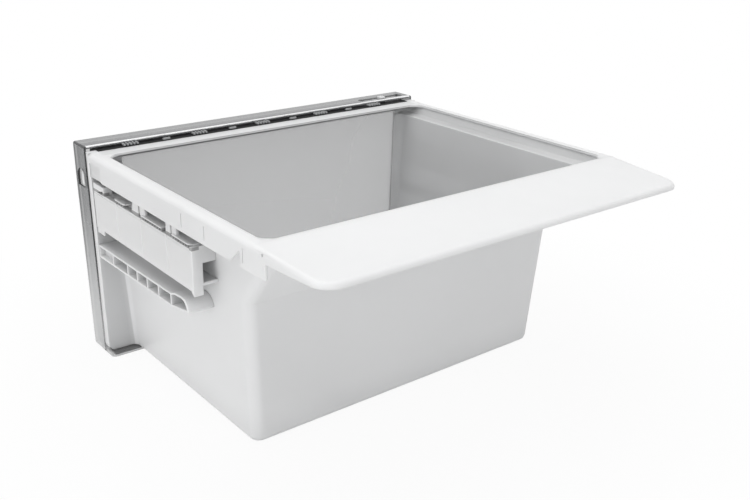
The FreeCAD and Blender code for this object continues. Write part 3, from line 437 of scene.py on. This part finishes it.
def softened(name, node, width):
    """A copy of a solid with its sharp edges rounded as a mould leaves them.

    A narrow bevel of two steps goes along each edge that turns by more than 30 degrees, and a
    point that the bevel threw off the solid goes back to the nearest place on it. No point
    stands outside the solid's own box.
    """
    form = merged_form(node)
    skin = BVHTree.FromBMesh(form)
    mesh = bpy.data.meshes.new(name)
    form.to_mesh(mesh)
    form.free()
    piece = place_mesh(name, mesh)
    bevel = piece.modifiers.new("soft_edges", "BEVEL")
    bevel.width = width
    bevel.segments = 2
    bevel.angle_limit = EDGE_TURN
    bevel.use_clamp_overlap = False
    bpy.context.view_layer.update()
    soft = bpy.data.meshes.new_from_object(piece.evaluated_get(bpy.context.evaluated_depsgraph_get()))
    piece.modifiers.clear()
    places = np.empty(len(soft.vertices) * 3)
    soft.vertices.foreach_get("co", places)
    places = places.reshape(-1, 3)
    nearest = [skin.find_nearest(place) for place in places]
    far = np.array([found[3] for found in nearest]) > width * STRAY_SHARE
    places[far] = np.array([found[0] for found in nearest])[far]
    places = np.clip(places, *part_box(node))
    soft.vertices.foreach_set("co", places.ravel())
    soft.polygons.foreach_set("use_smooth", np.ones(len(soft.polygons), bool))
    soft.set_sharp_from_angle(angle=SHARP_TURN)
    soft.update()
    piece.data = soft
    level = piece.modifiers.new("level_flats", "WEIGHTED_NORMAL")
    level.keep_sharp = True
    return piece


def skin_of_rings(name, rings):
    """A closed skin through rings of equal length, with a face on the first and the last.

    rings is an array of places (ring, step round it, xyz), turning to the left round the way
    that the rings go.
    """
    count, around = rings.shape[:2]
    grid = np.arange(count * around).reshape(count, around)
    ahead = np.roll(grid, -1, axis=1)
    sides = np.stack([grid[:-1], ahead[:-1], ahead[1:], grid[1:]], axis=-1).reshape(-1, 4)
    faces = [*sides.tolist(), grid[0][::-1].tolist(), grid[-1].tolist()]
    mesh = bpy.data.meshes.new(name)
    mesh.from_pydata(rings.reshape(-1, 3).tolist(), [], faces)
    mesh.polygons.foreach_set("use_smooth", np.ones(len(faces), bool))
    mesh.set_sharp_from_angle(angle=math.radians(50))
    return place_mesh(name, mesh)


def squared_ring(steps, power):
    """Unit ring between a circle and a square: cos and sin, each to the power 2 / power."""
    turn = np.arange(steps) * 2 * np.pi / steps
    wave = np.column_stack([np.cos(turn), np.sin(turn)])
    return np.sign(wave) * np.abs(wave) ** (2 / power)


def middle_and_half(node):
    """The middle of a node's box, and half its size along each axis."""
    low, high = (np.array(corner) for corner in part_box(node))
    return (low + high) / 2, (high - low) / 2


def trim_strip():
    """The bright strip: a crowned profile carried along x.

    Across, the profile is a squared ring of half width a and half height b. Near each end, over
    a length r, a and b shrink by r (1 - cos t) while x goes the last r sin t.
    """
    middle, half = middle_and_half("top_trim")
    end_round, end_steps, steps, power = 0.4 * MM, 6, 40, 7.0
    turn = np.linspace(0, np.pi / 2, end_steps)
    shrink = end_round * (1 - np.cos(turn))
    along = half[0] - end_round + end_round * np.sin(turn)
    along = np.concatenate([-along[::-1], along])
    shrink = np.concatenate([shrink[::-1], shrink])
    ring = squared_ring(steps, power)
    rings = np.empty((len(along), steps, 3))
    rings[..., 0] = middle[0] + along[:, None]
    rings[..., 1] = middle[1] + (half[1] - shrink)[:, None] * ring[:, 0]
    rings[..., 2] = middle[2] + (half[2] - shrink)[:, None] * ring[:, 1]
    return skin_of_rings("trim_strip", rings)


def vent_knob():
    """The knob: rings stacked up z, from the peg to the ridged top of the block.

    Each level is a squared ring with its own half sizes, power and height. On the top, rings
    shrink to the middle, and z is raised by h cos(2 pi x / p), which fades out at the rim.
    """
    middle, half = middle_and_half("slider_tab")
    foot, head = (corner[2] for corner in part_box("slider_tab"))
    block, stem, round_peg = 7.0, 9.0, 2.0
    steps, crest_rings, soft_steps = 64, 16, 6
    peg, stem_y, ridge, pitch = 1.25 * MM, 1.75 * MM, 0.28 * MM, 1.4 * MM
    peg_top, stem_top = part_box("vent_shutter")[1][2] + 0.03 * MM, 202.35 * MM
    top, soft, rim_fade = head - ridge, 0.7 * MM, 0.8 * MM
    levels = [(peg * 0.8, peg * 0.8, foot, round_peg), (peg, peg, foot + 0.3 * MM, round_peg),
              (peg, peg, peg_top, round_peg),
              (half[0] * 0.96, stem_y * 0.9, peg_top + 0.01 * MM, stem),
              (half[0] * 0.98, stem_y, peg_top + 0.2 * MM, stem),
              (half[0] * 0.98, stem_y, stem_top, stem),
              (half[0], half[1], stem_top + 0.15 * MM, block)]
    for turn in np.linspace(0, np.pi / 2, soft_steps):
        shrink = soft * (1 - math.cos(turn))
        levels.append((half[0] - shrink, half[1] - shrink, top - soft * (1 - math.sin(turn)), block))
    for share in np.linspace(0.94, 0.04, crest_rings):
        levels.append(((half[0] - soft) * share, (half[1] - soft) * share, top, block))
    rings = np.empty((len(levels), steps, 3))
    for i, (half_x, half_y, height, power) in enumerate(levels):
        ring = squared_ring(steps, power)
        rings[i, :, 0] = middle[0] + half_x * ring[:, 0]
        rings[i, :, 1] = middle[1] + half_y * ring[:, 1]
        rings[i, :, 2] = height
    crest = rings[-crest_rings:]
    fade = np.clip((half[1] - soft - np.abs(crest[..., 1] - middle[1])) / rim_fade, 0, 1)
    crest[..., 2] += ridge * fade * np.cos(2 * np.pi * (crest[..., 0] - middle[0]) / pitch)
    return skin_of_rings("vent_knob", rings)


# Studio

def seen_ray(tree):
    """1 for a ray that shows the surround to the eye: straight, mirrored or through clear plastic."""
    path = tree.nodes.new("ShaderNodeLightPath")
    seen = times(tree, path.outputs["Is Camera Ray"], path.outputs["Is Glossy Ray"], "MAXIMUM")
    return times(tree, seen, path.outputs["Is Transmission Ray"], "MAXIMUM")


def studio_world():
    """A soft white surround: plain light on the object, plain white where it is seen."""
    world = bpy.data.worlds.new("studio")
    bpy.context.scene.world = world
    world.use_nodes = True
    tree = world.node_tree
    back = tree.nodes["Background"]
    back.inputs["Color"].default_value = (1, 1, 1, 1)
    level = add(tree, "ShaderNodeMapRange", Value=seen_ray(tree), To_Min=AMBIENT, To_Max=1.0)
    tree.links.new(level.outputs["Result"], back.inputs["Strength"])


def studio_floor():
    """A pale floor: it keeps a soft shadow near the object and runs into the white surround."""
    corners = np.array([(-1, -1), (1, -1), (1, 1), (-1, 1)]) * FLOOR_HALF
    points = np.column_stack([corners, np.full(4, -FLOOR_DROP)])
    mesh = bpy.data.meshes.new("floor")
    mesh.from_pydata(points.tolist(), [], [(0, 1, 2, 3)])
    floor = bpy.data.objects.new("floor", mesh)
    bpy.context.collection.objects.link(floor)
    material, tree, shader, place = blank_material("floor_paper")
    shader.inputs["Roughness"].default_value = 0.9
    shader.inputs["Specular IOR Level"].default_value = 0.1
    tree.links.new(tint(tree, mottle(tree, place, 30.0, 0.0, 1.0), (0.80, 0.80, 0.80),
                        (0.83, 0.83, 0.83)), shader.inputs["Base Color"])
    glow = add(tree, "ShaderNodeEmission", Color=(1, 1, 1, 1), Strength=1.0)
    reach = add(tree, "ShaderNodeVectorMath", {"operation": "LENGTH"}, _0=place)
    spread = ramp(tree, "SMOOTHSTEP", reach.outputs["Value"], *SHADOW_REACH, SHADOW_GLOW, 1.0)
    mix = add(tree, "ShaderNodeMixShader", _0=times(tree, seen_ray(tree), spread),
              _1=shader.outputs[0], _2=glow.outputs[0])
    tree.links.new(mix.outputs[0], tree.nodes["Material Output"].inputs["Surface"])
    mesh.materials.append(material)


def area_light(name, place, target, size, power):
    """A soft rectangular lamp that looks at a point."""
    light = bpy.data.objects.new(name, bpy.data.lights.new(name, "AREA"))
    light.data.shape = "RECTANGLE"
    light.data.size, light.data.size_y = size
    light.data.energy = power
    light.matrix_world = Matrix.Translation(place) @ (
        (Vector(place) - Vector(target)).to_track_quat("Z", "Y").to_matrix().to_4x4())
    bpy.context.collection.objects.link(light)


clear_defaults()
photo_camera()
bpy.context.scene.view_settings.view_transform = "Standard"
studio_world()
studio_floor()
for name, setting in LAMPS.items():
    area_light(name, *setting)

# The drawer's finishes
bin_white = moulded("bin_white", (0.845, 0.85, 0.855), (0.82, 0.825, 0.83), 0.38, 0.85,
                    shade=strip_shade, inside_shade=0.74)
rail_white = moulded("rail_white", (0.84, 0.843, 0.846), (0.81, 0.813, 0.818), 0.42, 0.75,
                     shade=lid_shade)
tab_white = moulded("tab_white", (0.78, 0.785, 0.79), (0.74, 0.745, 0.75), 0.4, 0.7)
cover_smoke = see_through("cover_smoke", (0.20, 0.205, 0.21), (0.17, 0.175, 0.18), 0.08, 0.48, 0.85,
                          cut_edge_shade=cover_cut, fade=cover_fade, clear=cover_clear)
pane_smoke = see_through("pane_smoke", (0.82, 0.825, 0.83), (0.78, 0.785, 0.79), 0.12, 0.30, 0.60)
trim_bright = bright_metal("trim_bright", (0.93, 0.93, 0.94), 0.16)
vent_dark = vent_black("vent_dark", (0.012, 0.012, 0.013), (0.36, 0.365, 0.37), FIN_FOOT)
shutter_dark = vent_black("shutter_dark", (0.010, 0.010, 0.011), (0.03, 0.03, 0.03), NO_FINS)

# Pieces: the node that each stands for, its body, slot, finish and edge softness in millimetres
PIECES = {
    "bin_moulding": ("crisper_bin", "drawer", "bin_plastic", bin_white, 0.5),
    "cover_tray": ("front_cover", "drawer", "cover_plastic", cover_smoke, 0.4),
    "window_pane": ("inner_window", "drawer", "pane_plastic", pane_smoke, 0.3),
    "vent_grid": ("vent_grille", "drawer", "vent_plastic", vent_dark, 0.2),
    "vent_slide_strip": ("vent_shutter", "vent_slide", "shutter_plastic", shutter_dark, 0.2),
    "bracket_right": ("side_bracket_right", "drawer", "rail_plastic", rail_white, 0.35),
    "bracket_left": ("side_bracket_left", "drawer", "rail_plastic", rail_white, 0.35),
    "rail_right": ("runner_rail_right", "drawer", "rail_plastic", rail_white, 0.35),
    "rail_left": ("runner_rail_left", "drawer", "rail_plastic", rail_white, 0.35),
}
for name, (node, body, slot, finish, soft) in PIECES.items():
    dress(softened(name, node, soft * MM), body, node, finish)
dress(trim_strip(), "drawer", "top_trim", trim_bright)
dress(vent_knob(), "vent_slide", "slider_tab", tab_white)
# The nodes under the pieces carry the same finishes
HIDDEN_FINISHES = {"top_trim": trim_bright, "slider_tab": tab_white}
HIDDEN_FINISHES.update({node: finish for node, _, _, finish, _ in PIECES.values()})
for name, finish in HIDDEN_FINISHES.items():
    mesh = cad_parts[name].data
    mesh.materials.clear()
    mesh.materials.append(finish)
